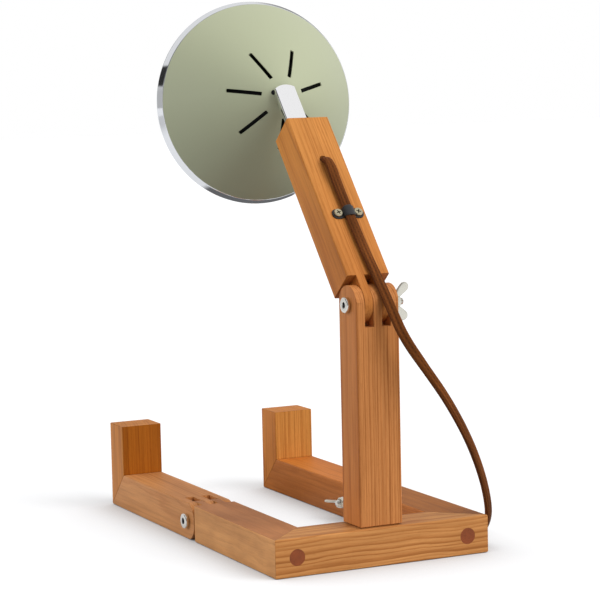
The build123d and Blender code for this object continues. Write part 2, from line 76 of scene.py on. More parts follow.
# Camera, behind the lamp and to its own left
viewpoint = {
    "place": (0.84926, 1.64954, 0.41816),
    "right": (-0.90163, 0.43194, -0.02210),
    "up": (-0.06470, -0.08419, 0.99435),
    "lens": 133.366,
}


def placeCamera():
    data = bpy.data.cameras.new("camera")
    data.lens, data.sensor_width = viewpoint["lens"], 36
    data.clip_start, data.clip_end = 0.05, 60
    camera = bpy.data.objects.new("camera", data)
    scene.collection.objects.link(camera)
    right, up = Vector(viewpoint["right"]).normalized(), Vector(viewpoint["up"]).normalized()
    turn = Matrix((right, up, right.cross(up))).transposed()
    camera.matrix_world = Matrix.Translation(viewpoint["place"]) @ turn.to_4x4()
    scene.camera = camera


placeCamera()


# Frames of the moving parts, as 4x4 arrays in metres
lean = {"neck": 40.5, "arm": -8.33, "head": 53.8, "elbow": 0.2203, "armOffset": -0.0039, "pin": 0.23685,
        "pinRise": 0.0049, "pinSetback": 0.00396}


def turned(angle, axis):
    return np.array(Matrix.Rotation(radians(angle), 4, axis))


def shifted(x, y, z):
    return np.array(Matrix.Translation((x, y, z)))


elbowFrame = shifted(0, 0, lean["elbow"])
neckFrame = elbowFrame @ turned(lean["neck"], "X")
armFrame = neckFrame @ shifted(0, lean["armOffset"], 0) @ turned(lean["arm"], "Z")
headFrame = armFrame @ shifted(0, 0, lean["pin"]) @ turned(lean["head"], "X")
headFrame = headFrame @ shifted(0, -lean["pinRise"], -lean["pinSetback"])


def inFrame(matrix, points):
    return points @ matrix[:3, :3].T + matrix[:3, 3]


# Mesh builders: every surface is a grid of points worked out as one array
def gridFaces(rows, columns, closedRows=False, closedColumns=True):
    # quad (i, j) joins grid points i, i+1 and j, j+1, counted round where a direction closes
    i = np.arange(rows if closedRows else rows - 1)[:, None]
    j = np.arange(columns if closedColumns else columns - 1)[None, :]
    i2, j2 = (i + 1) % rows, (j + 1) % columns
    corners = [i * columns + j, i * columns + j2, i2 * columns + j2, i2 * columns + j]
    return np.stack([np.broadcast_to(c, (i.shape[0], j.shape[1])) for c in corners], -1).reshape(-1, 4)


def makeMesh(name, shells, mergeWithin=1e-6, uv=None):
    # shells is a list of (points, quads); doubles are merged, so poles and seams close, then faces look out
    points = np.concatenate([p for p, f in shells])
    starts = np.cumsum([0] + [len(p) for p, f in shells[:-1]])
    faces = np.concatenate([f + s for (p, f), s in zip(shells, starts)])
    mesh = bpy.data.meshes.new(name)
    mesh.from_pydata(points.tolist(), [], faces.tolist())
    if uv is not None:
        mesh.uv_layers.new(name="lay").data.foreach_set("uv", uv.astype(np.float32).ravel())
    bm = bmesh.new()
    bm.from_mesh(mesh)
    bmesh.ops.remove_doubles(bm, verts=bm.verts, dist=mergeWithin)
    bmesh.ops.recalc_face_normals(bm, faces=bm.faces)
    bm.to_mesh(mesh)
    bm.free()
    return mesh


def markEdges(mesh, limit):
    # an edge is sharp where its two faces turn by more than the limit
    bm = bmesh.new()
    bm.from_mesh(mesh)
    for edge in bm.edges:
        edge.smooth = len(edge.link_faces) == 2 and edge.calc_face_angle(0) < radians(limit)
    for face in bm.faces:
        face.smooth = True
    bm.to_mesh(mesh)
    bm.free()


def finishPiece(name, mesh, body, finish, replaced=(), sharp=35):
    markEdges(mesh, sharp)
    piece = bpy.data.objects.new(name, mesh)
    scene.collection.objects.link(piece)
    mesh.materials.append(finish)
    if body:
        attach(piece, body)
    if replaced:
        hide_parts(*replaced)
    return piece


def eased(corners, reach, steps=4):
    # each corner becomes a parabola that starts and ends `reach` from it, or 0.45 of its shorter side
    corners = np.array(corners, float)
    sides = np.diff(corners, axis=0)
    lengths = np.linalg.norm(sides, axis=1)
    units = sides / lengths[:, None]
    cut = np.minimum(reach, 0.45 * np.minimum(lengths[:-1], lengths[1:]))[:, None, None]
    t = np.linspace(0, 1, steps)[None, :, None]
    middle = corners[1:-1, None, :]
    start, end = middle - units[:-1, None, :] * cut, middle + units[1:, None, :] * cut
    rounded = start * (1 - t) ** 2 + 2 * middle * t * (1 - t) + end * t ** 2
    return np.concatenate([corners[:1], rounded.reshape(-1, 2), corners[-1:]])


def spun(profile, matrix, turns=96, radiusAt=None):
    # point (i, j) is the profile's radius and height i at angle j round Z; radiusAt may change the radius
    angle = np.arange(turns) * tau / turns
    radius = np.repeat(profile[:, :1], turns, 1)
    if radiusAt is not None:
        radius = radiusAt(radius, profile[:, 1:2], angle[None, :])
    height = np.repeat(profile[:, 1:2], turns, 1)
    grid = np.stack([radius * np.cos(angle), radius * np.sin(angle), height], -1)
    return inFrame(matrix, grid.reshape(-1, 3)), gridFaces(len(profile), turns)


def lofted(centres, across, thick, halfAcross, halfThick, power, matrix, around=28):
    # point (i, j) is centre i plus a superellipse of these half sizes, along the directions across and thick
    angle = (np.arange(around) + 0.5) * tau / around
    c, s = np.cos(angle), np.sin(angle)
    p = 2.0 / np.broadcast_to(power, (len(centres),))[:, None]
    a = np.sign(c) * np.abs(c) ** p * np.broadcast_to(halfAcross, (len(centres),))[:, None]
    b = np.sign(s) * np.abs(s) ** p * np.broadcast_to(halfThick, (len(centres),))[:, None]
    grid = centres[:, None] + a[..., None] * across[:, None] + b[..., None] * thick[:, None]
    return inFrame(matrix, grid.reshape(-1, 3)), gridFaces(len(centres), around)


def facing(n, direction):
    return np.tile(np.array(direction, float), (n, 1))


# Finishes
def tone(r, g, b):
    # screen colour, 0 to 255, to the linear colour that a shader takes
    c = np.array([r, g, b]) / 255
    return tuple(float(v) for v in np.where(c <= 0.04045, c / 12.92, ((c + 0.055) / 1.055) ** 2.4))


class Graph:
    # writes nodes into a tree; a value may be a number, a colour or another node's output
    def __init__(self, tree):
        self.tree = tree

    def plug(self, sockets, values):
        for socket, value in zip(sockets, values):
            if isinstance(value, bpy.types.NodeSocket):
                self.tree.links.new(value, socket)
            elif isinstance(value, tuple) and len(value) < len(socket.default_value):
                socket.default_value = (*value, 1)
            else:
                socket.default_value = value

    def node(self, kind, links=None, **settings):
        made = self.tree.nodes.new("ShaderNode" + kind)
        for key, value in settings.items():
            if hasattr(made, key):
                setattr(made, key, value)
            else:
                made.inputs[key].default_value = value
        for key, source in (links or {}).items():
            self.tree.links.new(source, made.inputs[key])
        return made

    def coordinates(self, kind="Object"):
        return self.node("TexCoord").outputs[kind]

    def noise(self, vector, scale, detail=2.0, roughness=0.5, output="Fac"):
        made = self.node("TexNoise", {"Vector": vector}, Scale=scale, Detail=detail, Roughness=roughness)
        return made.outputs[output]

    def maths(self, operation, *values):
        made = self.node("Math", operation=operation)
        self.plug(made.inputs, values)
        return made.outputs[0]

    def times(self, a, b):
        return self.maths("MULTIPLY", a, b)

    def timesPlus(self, a, b, c):
        return self.maths("MULTIPLY_ADD", a, b, c)

    def vectorMaths(self, operation, *values):
        made = self.node("VectorMath", operation=operation)
        self.plug(made.inputs, values)
        return made.outputs["Value" if operation in ("LENGTH", "DISTANCE", "DOT_PRODUCT") else "Vector"]

    def parts(self, vector):
        return self.node("SeparateXYZ", {0: vector}).outputs

    def remapped(self, value, start=(0.0, 1.0), stop=(0.0, 1.0), easing="LINEAR"):
        made = self.node("MapRange", {"Value": value}, interpolation_type=easing)
        ends = [made.inputs[key] for key in ("From Min", "From Max", "To Min", "To Max")]
        self.plug(ends, start + stop)
        return made.outputs[0]

    def stretched(self, vector, along):
        made = self.node("Mapping", {"Vector": vector})
        made.inputs["Scale"].default_value = (1, 1, along)
        return made.outputs[0]

    def ramp(self, source, *stops):
        # a stop is a place and a colour, or a place and a level of grey
        made = self.node("ValToRGB", {0: source})
        elements = made.color_ramp.elements
        while len(elements) < len(stops):
            elements.new(0.5)
        for element, (place, colour) in zip(elements, stops):
            element.position = place
            element.color = (*colour, 1) if isinstance(colour, tuple) else (colour, colour, colour, 1)
        return made.outputs[0]

    def mixed(self, factor, a, b, mode="MIX"):
        made = self.node("Mix", data_type="RGBA", blend_type=mode)
        colours = [s for s in made.inputs if s.type == "RGBA"]
        self.plug([made.inputs[0], *colours], (factor, a, b))
        return [s for s in made.outputs if s.type == "RGBA"][0]

    def tinted(self, base, by, factor=1.0):
        return self.mixed(factor, base, by, "MULTIPLY")


class Finish(Graph):
    def __init__(self, name, colour, roughness, metal=0.0):
        self.material = bpy.data.materials.new(name)
        self.material.use_nodes = True
        self.material.diffuse_color = (*colour, 1)
        super().__init__(self.material.node_tree)
        self.shader = self.tree.nodes["Principled BSDF"].inputs
        self.set({"Base Color": colour, "Roughness": roughness, "Metallic": metal})

    def set(self, values):
        for key, value in values.items():
            self.plug([self.shader[key]], [value])

    def bump(self, height, strength, distance):
        made = self.node("Bump", {"Height": height}, Strength=strength, Distance=distance)
        self.set({"Normal": made.outputs[0]})


timberLook = {
    "pale": (206, 146, 84), "mid": (187, 124, 66), "dark": (150, 92, 42),
    # the arris level darkens the timber's edge bevels: painted shade
    "bend": 0.011, "roughness": (0.40, 0.56), "gloss": 0.16, "arris": 0.80,
}


def timberFinish(name, middle, look, shadeBy=1.0):
    # growth rings round a pith line along the grain: radius from the pith, bent by slow noise, over the ring
    # spacing; each ring darkens outwards to a depth of its own; fibres and pores run along the grain
    tint = [t * shadeBy for t in look["tint"]]
    tones = [tone(*timberLook[key]) for key in ("pale", "mid", "dark")]
    pale, mid, dark = (tuple(v * t for v, t in zip(colour, tint)) for colour in tones)
    f = Finish(name, mid, 0.45)
    turn = Euler([radians(a) for a in look["turn"]])
    grain = f.node("Mapping", {"Vector": f.coordinates()}, vector_type="POINT")
    grain.inputs["Rotation"].default_value = turn
    grain.inputs["Location"].default_value = Vector(look["pith"]) - turn.to_matrix() @ Vector(middle)
    grain = grain.outputs[0]
    slow = f.stretched(grain, look["stretch"])
    push = f.vectorMaths("SUBTRACT", f.noise(slow, 30.0, 2.5, output="Color"), (0.5, 0.5, 0.5))
    reach = timberLook["bend"] * look["wobble"]
    pushed = f.vectorMaths("MULTIPLY_ADD", push, (reach, reach, 0), grain)
    radius = f.vectorMaths("LENGTH", f.vectorMaths("MULTIPLY", pushed, (1, 1, 0)))
    drawn = f.stretched(grain, 0.03)
    place = f.times(radius, 0.35 / look["spacing"])
    uneven = f.node("TexNoise", {"W": place}, noise_dimensions="1D", Scale=1.0, Detail=1.0).outputs["Fac"]
    phase = f.timesPlus(uneven, 2.4, f.times(radius, 1 / look["spacing"]))
    phase = f.timesPlus(f.noise(drawn, 620.0, 2.0, 0.6), look["jag"], phase)
    late = f.ramp(f.maths("FRACT", phase), (0.0, 0.55), (0.07, 0.06), (0.45, 0.16), (0.80, 0.78),
                  (0.93, 1.0), (1.0, 0.55))
    ringTone = f.node("TexWhiteNoise", {"W": f.maths("FLOOR", phase)}, noise_dimensions="1D").outputs["Value"]
    late = f.times(late, f.timesPlus(ringTone, 0.6, 0.4))
    fibres = f.noise(drawn, 1500.0, 3.0, 0.65)
    pore = f.ramp(f.noise(f.stretched(grain, 0.08), 2400.0, 1.0, 0.4), (0.58, 0.0), (0.69, 1.0))
    depth = f.timesPlus(late, look["contrast"], 0.5 - 0.42 * look["contrast"])
    base = f.ramp(depth, (0.0, pale), (0.5, mid), (1.0, dark))
    fine = f.ramp(fibres, (0.28, (0.84, 0.80, 0.74)), (0.5, 1.0), (0.76, (1.10, 1.11, 1.12)))
    base = f.tinted(base, fine, 0.8)
    line = f.ramp(f.noise(drawn, 360.0), (0.32, (0.87, 0.84, 0.80)), (0.52, 1.0), (0.74, (1.07, 1.07, 1.06)))
    base = f.tinted(base, line, look["streak"])
    drift = f.ramp(f.noise(slow, 34.0, 2.0, 0.55), (0.34, (0.84, 0.81, 0.79)), (0.50, (0.97, 0.96, 0.96)),
                   (0.62, (1.08, 1.09, 1.12)))
    base = f.tinted(base, drift, look["cloud"])
    base = f.mixed(f.times(pore, f.timesPlus(late, 0.32, 0.14)), base, dark)
    # faces turned to one axis get a tint of their own: painted light and shade, lighter or darker by the side
    # they face
    facing = f.parts(f.coordinates("Normal"))
    for axis, key, limit in ((0, "side", 0.75), (1, "rear", 0.62), (2, "top", 0.75)):
        if key in look:
            paintedLightFaces = f.maths("GREATER_THAN", f.maths("ABSOLUTE", facing[axis]), limit)
            base = f.mixed(paintedLightFaces, base, f.tinted(base, look[key]))
    # the member darkens towards one end, the neck towards its lower end
    if "fade" in look:
        start, end = look["pith"][2] - 0.10, look["pith"][2] + 0.10
        length = f.remapped(f.parts(grain)[2], (start, end), easing="SMOOTHSTEP")
        base = f.tinted(base, f.ramp(length, (0.0, look["fade"]), (1.0, 1.0)))
    f.set({"Base Color": base, "Roughness": f.remapped(fibres, stop=timberLook["roughness"])})
    f.bump(f.timesPlus(pore, -0.6, f.timesPlus(late, 0.35, fibres)), 0.20, 0.00012)
    f.set({"Specular IOR Level": timberLook["gloss"]})
    return f.material


def metalFinish(name, colour, roughness, grainScale=900.0, bump=0.05, mottle=0.07):
    # polished or plated metal: slow smears and fine marks in the roughness, a faint skin in the bump
    f = Finish(name, tone(*colour), roughness, 1.0)
    marks = f.noise(f.coordinates(), grainScale, 3.0, 0.6)
    mixed = f.timesPlus(f.noise(f.coordinates(), 60.0), 0.6, f.times(marks, 0.4))
    f.set({"Roughness": f.remapped(mixed, (0.3, 0.7), (roughness * 0.7, roughness * 1.4))})
    worn = tuple(v * (1 - mottle) for v in tone(*colour))
    f.set({"Base Color": f.ramp(marks, (0.3, worn), (0.6, tone(*colour)))})
    f.bump(marks, bump, 0.00005)
    return f.material


def coatFinish(name, colour, roughness, skin=0.10, skinScale=1400.0, speckle=0.03, gloss=0.5):
    # paint or moulded plastic: faint orange peel, a slow change of tone and of gloss
    f = Finish(name, tone(*colour), roughness)
    peel = f.noise(f.coordinates(), skinScale)
    slow = f.noise(f.coordinates(), 18.0)
    low, high = (tuple(v * k for v in tone(*colour)) for k in (1 - speckle, 1 + speckle))
    f.set({"Base Color": f.ramp(f.timesPlus(peel, 0.5, f.times(slow, 0.5)), (0.35, low), (0.65, high))})
    f.set({"Roughness": f.remapped(slow, stop=(roughness * 0.85, roughness * 1.15))})
    f.set({"Specular IOR Level": gloss})
    f.bump(peel, skin, 0.00006)
    return f.material


def braidFinish(name, dark, light):
    # a braided cover: two sets of yarns that cross, drawn in the cord's UV, U along it in metres, V round it
    pitch, starts, ribCount = 0.0046, 8.0, 9
    f = Finish(name, tone(*light), 0.8)
    u, v, _ = f.parts(f.node("UVMap", uv_map="lay").outputs[0])
    along, around = f.times(u, 1 / pitch), f.times(v, starts)
    yarns = [f.maths("SINE", f.times(f.maths(way, along, around), tau)) for way in ("ADD", "SUBTRACT")]
    ribs = f.maths("SINE", f.times(v, ribCount * tau))
    height = f.timesPlus(f.maths("MAXIMUM", *yarns), 0.16, f.timesPlus(ribs, 0.22, 0.62))
    fuzz = f.noise(f.coordinates(), 3000.0)
    slow = f.noise(f.coordinates(), 60.0)
    strand = f.node("CombineXYZ", {0: f.times(u, 22.0), 1: f.times(v, 9.0)}).outputs[0]
    # low parts of the weave and between the ribs take the dark colour: painted shade in the hollows
    yarn = f.ramp(height, (0.0, tone(*dark)), (1.0, tone(*light)))
    yarn = f.tinted(yarn, f.ramp(f.noise(strand, 1.0, 1.0), (0.36, 0.66), (0.62, 1.20)), 0.9)
    yarn = f.tinted(yarn, f.ramp(fuzz, (0.3, 0.55), (0.7, 1.25)), 0.45)
    yarn = f.tinted(yarn, f.ramp(slow, (0.35, 0.85), (0.65, 1.1)), 0.5)
    f.bump(f.timesPlus(fuzz, 0.3, height), 0.35, 0.0002)
    f.set({"Base Color": yarn, "Specular IOR Level": 0.12, "Sheen Weight": 0.03, "Sheen Roughness": 0.5})
    return f.material


def pegFinish(name, colour):
    # end grain: fine dots over a slow cloud
    f = Finish(name, tone(*colour), 0.6)
    dots = f.noise(f.coordinates(), 1300.0)
    cloud = f.noise(f.coordinates(), 160.0)
    low, mid, high = (tuple(v * k for v in tone(*colour)) for k in (0.72, 1.0, 1.18))
    both = f.timesPlus(dots, 0.6, f.times(cloud, 0.4))
    f.set({"Base Color": f.ramp(both, (0.36, low), (0.5, mid), (0.64, high))})
    f.bump(dots, 0.2, 0.0001)
    return f.material


def opalFinish(name):
    f = Finish(name, tone(240, 238, 230), 0.22)
    milk = f.noise(f.coordinates(), 40.0)
    f.set({"Base Color": f.ramp(milk, (0.35, tone(232, 230, 222)), (0.65, tone(244, 243, 238)))})
    f.set({"Coat Weight": 0.4, "Subsurface Weight": 0.15})
    f.set({"Subsurface Radius": (0.01, 0.01, 0.01), "Subsurface Scale": 0.2})
    f.bump(milk, 0.02, 0.0002)
    return f.material


# Cord: one braided lead from the neck's hole, past the clip, down to the switch, the tied hank and the plug
lead = {
    "thickness": 6.0 * mm, "around": 20, "declared": 1.71,
    "flat": (8.8 * mm, 5.3 * mm, 0.20),     # width, thickness and groove of two cores side by side
    "laidFrom": 0.445,                      # from here on it lies on the floor
    "flatBy": ((0.0, 0.0), (0.022, 1.0), (0.400, 1.0), (0.440, 0.0)),     # how flat, by distance along it
    "twist": ((0.0, 0.0), (0.18, -4.0), (0.208, -27.0), (0.229, -48.0), (0.255, -55.0), (0.30, -62.0)),
    "broadside": ((0.10, 1.0, 0.0), (0.18, 0.90, -0.43)),     # its level direction, neck and fall
    # route in mm: across, behind and along the neck, then in the lamp's own frame
    "neck": [(0.0, 10.5, 143.2), (-0.3, 20.6, 140.4), (-1.0, 22.6, 130.4), (-1.7, 20.3, 114.0),
             (-2.4, 19.6, 88.0), (-2.6, 19.6, 62.0), (-3.6, 19.7, 36.0), (-4.9, 19.9, 14.0),
             (-5.8, 20.04, -1.2)],
    "fall": [(-7.7, 27.6, 216.0), (-13.0, 38.0, 194.0), (-29.5, 42.5, 168.5), (-52.0, 39.5, 139.5),
             (-76.5, 31.6, 103.0), (-94.5, 23.0, 68.0), (-104.5, 15.5, 40.0), (-109.2, 6.0, 24.0),
             (-112.2, -9.5, 11.0), (-115.0, -22.0, 4.4), (-116.0, -36.0, 3.6), (-116.0, -50.0, 4.8),
             (-116.0, -79.0, 4.2)],
    "floor": [(-116.0, -106.0, 3.0), (-115.9, -117.0, 3.0), (-112.9, -131.0, 3.0), (-111.4, -142.0, 3.0)],
    "tail": [(-111.2, -240.0, 9.0), (-113.0, -250.0, 9.0), (-113.1, -259.0, 8.8), (-115.3, -269.5, 7.1),
             (-115.5, -278.0, 6.85), (-115.5, -288.0, 6.85)],
    "hankCentre": (-130.0, -196.0), "hankStraight": 62.0, "runs": (20.0, 14.0, 8.0), "layers": (3.0, 9.0),
}


def hankPoints():
    # racetrack turns, half circles of control points at each end, wound inwards, then outwards a layer up
    x0, y0 = lead["hankCentre"]
    half = lead["hankStraight"] / 2
    quarter = np.radians([22.5, 67.5, 112.5, 157.5])
    out, back = lead["runs"], lead["runs"][::-1]
    low, high = lead["layers"]
    rng = np.random.default_rng(7)
    parts = []

    def fold(fromX, toX, end, z0, z1):
        radius, middle = abs(fromX - toX) / 2 / 0.924, (fromX + toX) / 2
        side = np.sign(fromX - middle)
        height = z0 + (z1 - z0) * np.linspace(0.15, 0.85, 4)
        x, y = x0 + middle + side * radius * np.cos(quarter), y0 + end * (half + radius * np.sin(quarter))
        parts.append(np.stack([x, y, height], 1))

    def run(x, end, z):
        sway = rng.uniform(-0.25, 0.25, 2)
        parts.append(np.array([[x0 + x + s, y0 + e * half * 0.45, z] for s, e in zip(sway, (end, -end))]))

    for k in range(3):
        run(out[k], 1, low)
        fold(out[k], -out[k], -1, low, low)
        run(-out[k], -1, low)
        if k < 2:
            fold(-out[k], out[k + 1], 1, low, low)
    fold(-out[2], out[2], 1, low, high)
    for k in range(2):
        run(back[k], 1, high)
        fold(back[k], -back[k], -1, high, high)
        run(-back[k], -1, high)
        fold(-back[k], back[k + 1], 1, high, high)
    run(back[2], 1, high)
    return np.concatenate(parts)


def leadPoints():
    neck = inFrame(neckFrame, np.array(lead["neck"]) * mm)
    rest = np.concatenate([lead["fall"], lead["floor"], hankPoints(), lead["tail"]]) * mm
    return np.concatenate([neck, rest])


def smoothLine(points, name):
    # the route's own NURBS, drawn by Blender as a fine polyline
    curve = bpy.data.curves.new(name, "CURVE")
    curve.dimensions = "3D"
    spline = curve.splines.new("NURBS")
    spline.points.add(len(points) - 1)
    spline.points.foreach_set("co", np.column_stack([points, np.ones(len(points))]).ravel())
    spline.order_u = 3
    spline.use_endpoint_u = True
    spline.resolution_u = curve.resolution_u = 10
    carrier = bpy.data.objects.new(name, curve)
    scene.collection.objects.link(carrier)
    line = bpy.data.meshes.new_from_object(carrier)
    found = np.zeros(len(line.vertices) * 3)
    line.vertices.foreach_get("co", found)
    bpy.data.objects.remove(carrier)
    bpy.data.meshes.remove(line)
    found = found.reshape(-1, 3)
    return found[np.concatenate([[True], np.linalg.norm(np.diff(found, axis=0), axis=1) > 1e-6])]


def tubeAlong(line, along, around):
    # ring i stands across the line: its first direction is the broad side's, made square to the line, or
    # level on the floor, turned by the twist; its outline goes from a circle to a flat, grooved section
    tangent = np.gradient(line, axis=0)
    tangent /= np.linalg.norm(tangent, axis=1)[:, None]
    (s0, x0, y0), (s1, x1, y1) = lead["broadside"]
    x, y = np.interp(along, (s0, s1), (x0, x1)), np.interp(along, (s0, s1), (y0, y1))
    first = np.stack([x, y, 0 * along], 1)
    first -= tangent * np.sum(tangent * first, axis=1)[:, None]
    level = np.cross([0, 0, 1.0], tangent)
    first = np.where((along > lead["laidFrom"])[:, None], level, first)
    first /= np.linalg.norm(first, axis=1)[:, None]
    second = np.cross(tangent, first)
    turn = np.radians(np.interp(along, *np.transpose(lead["twist"])))[:, None]
    c, s = np.cos(turn), np.sin(turn)
    first, second = first * c + second * s, second * c - first * s
    flat = np.interp(along, *np.transpose(lead["flatBy"]))[:, None]
    width, thick, groove = lead["flat"]
    radius = lead["thickness"] / 2
    angle = (np.arange(around) * tau / around)[None, :]
    c, s = np.cos(angle), np.sin(angle)
    wide = np.sign(c) * np.abs(c) ** 0.86 * width / 2
    high = np.sign(s) * np.abs(s) ** 0.86 * thick / 2 * (1 - groove * np.exp(-(wide / (0.16 * width)) ** 2))
    a, b = radius * c * (1 - flat) + wide * flat, radius * s * (1 - flat) + high * flat
    shut = np.ones((len(line), 1))
    shut[[0, -1]] = 0
    grid = line[:, None] + (shut * a)[..., None] * first[:, None] + (shut * b)[..., None] * second[:, None]
    return grid.reshape(-1, 3), gridFaces(len(line), around)


def makeLead():
    line = smoothLine(leadPoints(), "leadRoute")
    line = np.concatenate([line[:1], line, line[-1:]])       # the end rings close to a point
    around = lead["around"]
    steps = np.linalg.norm(np.diff(line, axis=0), axis=1)
    along = np.concatenate([[0], np.cumsum(steps)])
    body = line.copy()
    body[0] -= 1e-5 * (line[2] - line[1]) / np.linalg.norm(line[2] - line[1])
    body[-1] += 1e-5 * (line[-2] - line[-3]) / np.linalg.norm(line[-2] - line[-3])
    points, faces = tubeAlong(body, along, around)
    i, j = np.meshgrid(np.arange(len(line) - 1), np.arange(around), indexing="ij")
    u = np.stack([along[i], along[i], along[i + 1], along[i + 1]], -1)
    v = np.stack([j, j + 1, j + 1, j], -1) / around
    mesh = makeMesh("lead", [(points, faces)], uv=np.stack([u, v], -1).reshape(-1, 2))
    piece = finishPiece("lead", mesh, None, braid,
                        ["cord_neck", "cord_fall", "cord_floor", "cord_hank", "cord_tail"], sharp=80)
    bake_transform(piece)
    print("lead", round(along[-1], 3), "m", len(line), "rings")
    return piece, line


braid = braidFinish("braid", (60, 30, 11), (120, 67, 28))
leadPiece, leadLine = makeLead()


# Timber: the CAD shapes with a slight easing on every sharp edge
timberKeys = ("turn", "pith", "spacing", "wobble", "contrast", "jag", "streak", "cloud", "stretch", "tint")
timbers = {
    # turn stands the grain on Z; pith is where the rings' centre lies from the member's middle, once turned;
    # the tint is partly the wood's own tone and partly painted light; the last entry holds the faces that
    # carry painted light and shade, a tint by the side they face, and the neck's darker lower end
    "hip_bar": ((0, -90, 0), (0.115, -0.04, 0.0), 0.004, 0.85, 1.05, 0.3, 0.9, 0.5, 0.36, (1.03, 1.02, 1.08),
                {"side": (0.95, 0.93, 0.98), "top": (0.95, 0.99, 1.03)}),
    "left_thigh": ((90, 0, 0), (0.06, 0.13, 0.0), 0.0085, 1.4, 0.16, 0.25, 0.5, 1.0, 0.5, (1.33, 1.53, 1.95),
                   {"top": (0.66, 0.56, 0.55)}),
    "right_thigh": ((90, 0, 0), (0.125, 0.06, 0.4), 0.0052, 1.1, 0.22, 0.25, 0.8, 0.8, 0.3,
                    (1.03, 0.85, 0.68), {"top": (0.63, 0.64, 0.56)}),
    "left_shank": ((90, 0, 0), (0.11, 0.02, 0.9), 0.0034, 1.2, 0.5, 0.4, 1.0, 0.6, 0.2, (1.2, 1.25, 1.54),
                   {"top": (0.9, 0.88, 0.86)}),
    "right_shank": ((90, 0, 0), (0.18, 0.075, 1.3), 0.004, 1.0, 0.24, 0.25, 0.9, 0.7, 0.25,
                    (1.03, 0.84, 0.66), {"top": (1.09, 1.04, 0.85)}),
    "left_foot": ((0, 0, 0), (-0.14, 0.03, 0.2), 0.0027, 0.5, 0.5, 0.4, 1.0, 0.5, 0.15, (1.04, 0.92, 0.64),
                  {"side": (1.12, 1.12, 1.12), "rear": (0.69, 0.54, 0.22)}),
    "right_foot": ((0, 0, 0), (0.23, 0.02, 0.7), 0.003, 0.5, 0.5, 0.4, 1.0, 0.5, 0.15, (1.1, 0.96, 0.7),
                   {"side": (1.05, 1.01, 0.92), "rear": (1.06, 1.2, 1.3)}),
    "trunk": ((0, 0, 0), (0.16, 0.03, 1.1), 0.0026, 0.5, 0.8, 0.45, 1.0, 0.5, 0.14, (1.01, 0.91, 0.94),
              {"side": (1.02, 0.97, 0.88)}),
    "neck": ((-40.5, 0, 0), (-0.15, -0.03, 0.3), 0.003, 0.6, 0.5, 0.4, 1.0, 0.6, 0.16, (1.1, 1.06, 0.9),
             {"side": (1.02, 0.94, 0.68), "fade": (0.84, 0.74, 0.68)}),
}
pieceNames = {"neck": "neckPost", "trunk": "trunkPost"}


def softened(nodeName, pieceName, finish, width, segments=2, sharp=32, edgeShadeFinish=None):
    # a merged copy of the CAD mesh, its flat facets joined, with a small bevel on its sharp edges, which may
    # have a darker finish of its own, painted shade along the edges
    source = nodes[nodeName]
    mesh = bpy.data.meshes.new(pieceName)
    bm = bmesh.new()
    bm.from_mesh(source.data)
    bmesh.ops.remove_doubles(bm, verts=bm.verts, dist=2e-6)
    bmesh.ops.dissolve_limit(bm, angle_limit=radians(0.6), verts=bm.verts, edges=bm.edges, delimit={"NORMAL"})
    bm.to_mesh(mesh)
    bm.free()
    piece = finishPiece(pieceName, mesh, source["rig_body"], finish, [nodeName], sharp)
    bevel = piece.modifiers.new("easedEdges", "BEVEL")
    bevel.width, bevel.segments = width, segments
    bevel.limit_method, bevel.angle_limit = "ANGLE", radians(sharp)
    bevel.harden_normals = True
    if edgeShadeFinish:
        mesh.materials.append(edgeShadeFinish)
        bevel.material = 1
    return piece


def camel(name):
    words = name.split("_")
    return words[0] + "".join(w.capitalize() for w in words[1:])


def makeTimber():
    for name, (*values, faces) in timbers.items():
        look = dict(zip(timberKeys, values), **faces)
        low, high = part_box(name)
        middle = tuple((l + h) / 2 for l, h in zip(low, high))
        face = timberFinish(camel(name) + "Grain", middle, look)
        # the edge bevels take a darker copy of the grain: painted shade along the arrises
        edge = timberFinish(camel(name) + "Arris", middle, look, timberLook["arris"])
        softened(name, pieceNames.get(name, camel(name)), face, 0.45 * mm, edgeShadeFinish=edge)
    print("timber", len(timbers), "members")


makeTimber()


# Pegs: darker end grain, set flush in the mitres
def giveFinish(nodeNames, finish):
    for name in nodeNames:
        mesh = nodes[name].data
        mesh.materials.clear()
        mesh.materials.append(finish)


peg = pegFinish("pegEndGrain", (133, 66, 30))
giveFinish(["hip_dowels", "left_foot_dowel", "right_foot_dowel", "trunk_dowels"], peg)


# Head: spun cone with its slots left open, rolled rim, holder, bulb
cone = {
    "hub": 13.4, "setback": 9.0, "rim": 90.7, "depth": 86.3, "belly": 6.8, "sheet": 1.0, "ease": (8.0, 18.6),
    "slots": 7, "slotInner": 19.2, "slotOuter": 46.8, "slotWidth": 3.5, "slotPhase": 67.3, "slotCorner": 0.7,
}


def coneArc():
    # one arc from the hub's edge to the rim, `belly` off its chord: centre, radius, first and last angle
    c = cone
    chordX, chordZ = c["rim"] - c["hub"], c["depth"] - c["setback"]
    chord = np.hypot(chordX, chordZ)
    bend = (chord ** 2 / 4 + c["belly"] ** 2) / (2 * c["belly"])
    back = bend - c["belly"]
    x = (c["hub"] + c["rim"]) / 2 - back * chordZ / chord
    z = (c["setback"] + c["depth"]) / 2 + back * chordX / chord
    ends = [np.arctan2(c["setback"] - z, c["hub"] - x), np.arctan2(c["depth"] - z, c["rim"] - x)]
    return np.array([x, z]), bend, *ends


